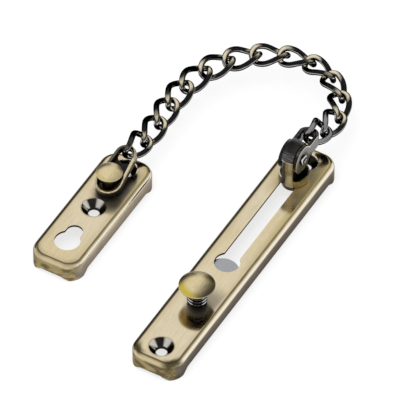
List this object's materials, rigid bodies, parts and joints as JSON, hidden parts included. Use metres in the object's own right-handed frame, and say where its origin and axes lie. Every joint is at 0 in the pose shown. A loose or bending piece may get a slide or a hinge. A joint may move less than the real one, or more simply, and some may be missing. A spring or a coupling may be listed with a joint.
{
  "type": "door chain",
  "caption": "Sliding door chain: a slotted plate with a sprung catch button, a swivelling slider, a twisted-link chain and a keeper plate with a knob and keyhole.",
  "frame": {"origin": "centre of the long plate's mounting face, midway between its two screw holes", "axes": "+X along the plates, from the button towards the slider's rest end; +Y across, towards the keeper plate; +Z away from the door"},
  "size_m": [0.2076, 0.1001, 0.0326],
  "materials": {
    "plate_brass": "brushed, waxed, dark in the corners",
    "knob_brass": "turned, lightly aged",
    "patina_brass": "blackened, edges rubbed back to brass",
    "patina_steel": "blackened, faces rubbed grey",
    "rivet_steel": "bright peened ends",
    "spring_steel": "plain drawn steel",
    "chain_wire": "blackened, bends rubbed to a brass tone"
  },
  "bodies": {
    "plate": {"track_plate": "plate_brass", "button_spring": "spring_steel"},
    "button": {"press_button": "knob_brass", "catch_leaf": "spring_steel"},
    "slider": {"slider_foot": "patina_brass"},
    "swivel": {"slider_head": "patina_brass"},
    "bracket": {"link_bracket": "patina_steel", "bracket_pin": "rivet_steel"},
    "link_01": {"chain_link_01": "chain_wire"},
    "link_02": {"chain_link_02": "chain_wire"},
    "link_03": {"chain_link_03": "chain_wire"},
    "link_04": {"chain_link_04": "chain_wire"},
    "link_05": {"chain_link_05": "chain_wire"},
    "link_06": {"chain_link_06": "chain_wire"},
    "link_07": {"chain_link_07": "chain_wire"},
    "link_08": {"chain_link_08": "chain_wire"},
    "link_09": {"chain_link_09": "chain_wire"},
    "link_10": {"chain_link_10": "chain_wire"},
    "link_11": {"chain_link_11": "chain_wire"},
    "link_12": {"chain_link_12": "chain_wire"},
    "link_13": {"chain_link_13": "chain_wire"},
    "link_14": {"chain_link_14": "chain_wire"},
    "strap": {"hanger_strap": "patina_brass"},
    "keeper": {"keeper_plate": "plate_brass", "keeper_knob": "knob_brass"}
  },
  "joints": [
    {"name": "button_press", "type": "slide", "parent": "plate", "child": "button", "axis": [0, 0, -1], "range_m": [0, 0.0032], "stiffness_N_per_m": 500, "springref_m": -0.004, "deforming": ["button_spring"]},
    {"name": "slot_slide", "type": "slide", "parent": "plate", "child": "slider", "axis": [1, 0, 0], "range_m": [-0.0545, 0]},
    {"name": "head_swivel", "type": "hinge", "parent": "slider", "child": "swivel", "pos_m": [0.0575, 0, 0.01045], "axis": [0, 0, 1], "range_deg": [-180, 10]},
    {"name": "bracket_hinge", "type": "hinge", "parent": "swivel", "child": "bracket", "pos_m": [0.0575, 0, 0.0247], "axis": [0, 1, 0], "range_deg": [-185, 0]},
    {"name": "link_01_hinge", "type": "hinge", "parent": "bracket", "child": "link_01", "pos_m": [0.0756, 0, 0.0247], "axis": [0, 0, 1], "range_deg": [-3, 12]},
    {"name": "link_02_hinge", "type": "hinge", "parent": "link_01", "child": "link_02", "pos_m": [0.08472, -0.00161, 0.01924], "axis": [0, 0, -1], "range_deg": [-10, 25]},
    {"name": "link_03_hinge", "type": "hinge", "parent": "link_02", "child": "link_03", "pos_m": [0.09806, -0.00114, 0.0166], "axis": [0, 0, 1], "range_deg": [-30, 7]},
    {"name": "link_04_hinge", "type": "hinge", "parent": "link_03", "child": "link_04", "pos_m": [0.11036, 0.0046, 0.0159], "axis": [0, 0, -1], "range_deg": [-7, 30]},
    {"name": "link_05_hinge", "type": "hinge", "parent": "link_04", "child": "link_05", "pos_m": [0.11911, 0.01502, 0.0159], "axis": [0, 0, 1], "range_deg": [-30, 7]},
    {"name": "link_06_hinge", "type": "hinge", "parent": "link_05", "child": "link_06", "pos_m": [0.12263, 0.02815, 0.0159], "axis": [0, 0, -1], "range_deg": [-7, 30]},
    {"name": "link_07_hinge", "type": "hinge", "parent": "link_06", "child": "link_07", "pos_m": [0.1205, 0.04158, 0.0159], "axis": [0, 0, 1], "range_deg": [-30, 9]},
    {"name": "link_08_hinge", "type": "hinge", "parent": "link_07", "child": "link_08", "pos_m": [0.11391, 0.05348, 0.0159], "axis": [0, 0, -1], "range_deg": [-10, 25]},
    {"name": "link_09_hinge", "type": "hinge", "parent": "link_08", "child": "link_09", "pos_m": [0.10429, 0.0631, 0.0159], "axis": [0, 0, 1], "range_deg": [-25, 10]},
    {"name": "link_10_hinge", "type": "hinge", "parent": "link_09", "child": "link_10", "pos_m": [0.09239, 0.06969, 0.0159], "axis": [0, 0, -1], "range_deg": [-10, 25]},
    {"name": "link_11_hinge", "type": "hinge", "parent": "link_10", "child": "link_11", "pos_m": [0.0792, 0.07298, 0.0159], "axis": [0, 0, 1], "range_deg": [-25, 10]},
    {"name": "link_12_hinge", "type": "hinge", "parent": "link_11", "child": "link_12", "pos_m": [0.0656, 0.07322, 0.0159], "axis": [0, 0, -1], "range_deg": [-12, 20]},
    {"name": "link_13_hinge", "type": "hinge", "parent": "link_12", "child": "link_13", "pos_m": [0.05205, 0.07203, 0.0159], "axis": [0, 0, 1], "range_deg": [-20, 12]},
    {"name": "link_14_hinge", "type": "hinge", "parent": "link_13", "child": "link_14", "pos_m": [0.03846, 0.07156, 0.0159], "axis": [0, 0, -1], "range_deg": [-12, 15]},
    {"name": "strap_hinge", "type": "hinge", "parent": "link_14", "child": "strap", "pos_m": [0.02771, 0.07307, 0.01921], "axis": [0, 0, 1], "range_deg": [-25, 7]},
    {"name": "keeper_hinge", "type": "hinge", "parent": "strap", "child": "keeper", "pos_m": [0.00709, 0.07307, 0.01217], "axis": [0, 0, 1], "range_deg": [-90, 90]}
  ]
}
